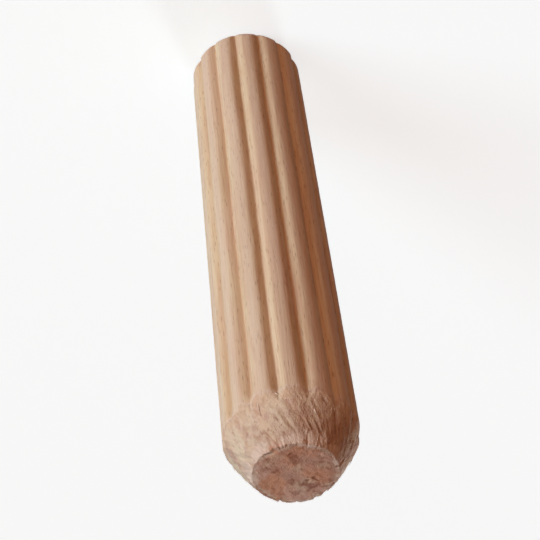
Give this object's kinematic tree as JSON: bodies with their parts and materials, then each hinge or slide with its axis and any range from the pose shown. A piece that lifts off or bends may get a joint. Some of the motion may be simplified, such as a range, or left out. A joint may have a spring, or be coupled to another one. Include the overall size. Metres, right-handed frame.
{
  "type": "dowel pin",
  "caption": "Straight wooden dowel pin with lengthwise grooves, one end bevelled and the other rounded, for glued joints in timber and board.",
  "frame": {"origin": "centre of the face that the pin stands on, at its rounded end", "axes": "+Z along the pin's axis, from the rounded end up to the bevelled end; +X through the middle of a ridge"},
  "size_m": [0.008, 0.008, 0.04],
  "materials": {
    "wood": "bare planed hardwood, matt, with a rough torn surface on the bevel"
  },
  "bodies": {
    "root": {"dowel_pin": "wood"}
  },
  "joints": []
}
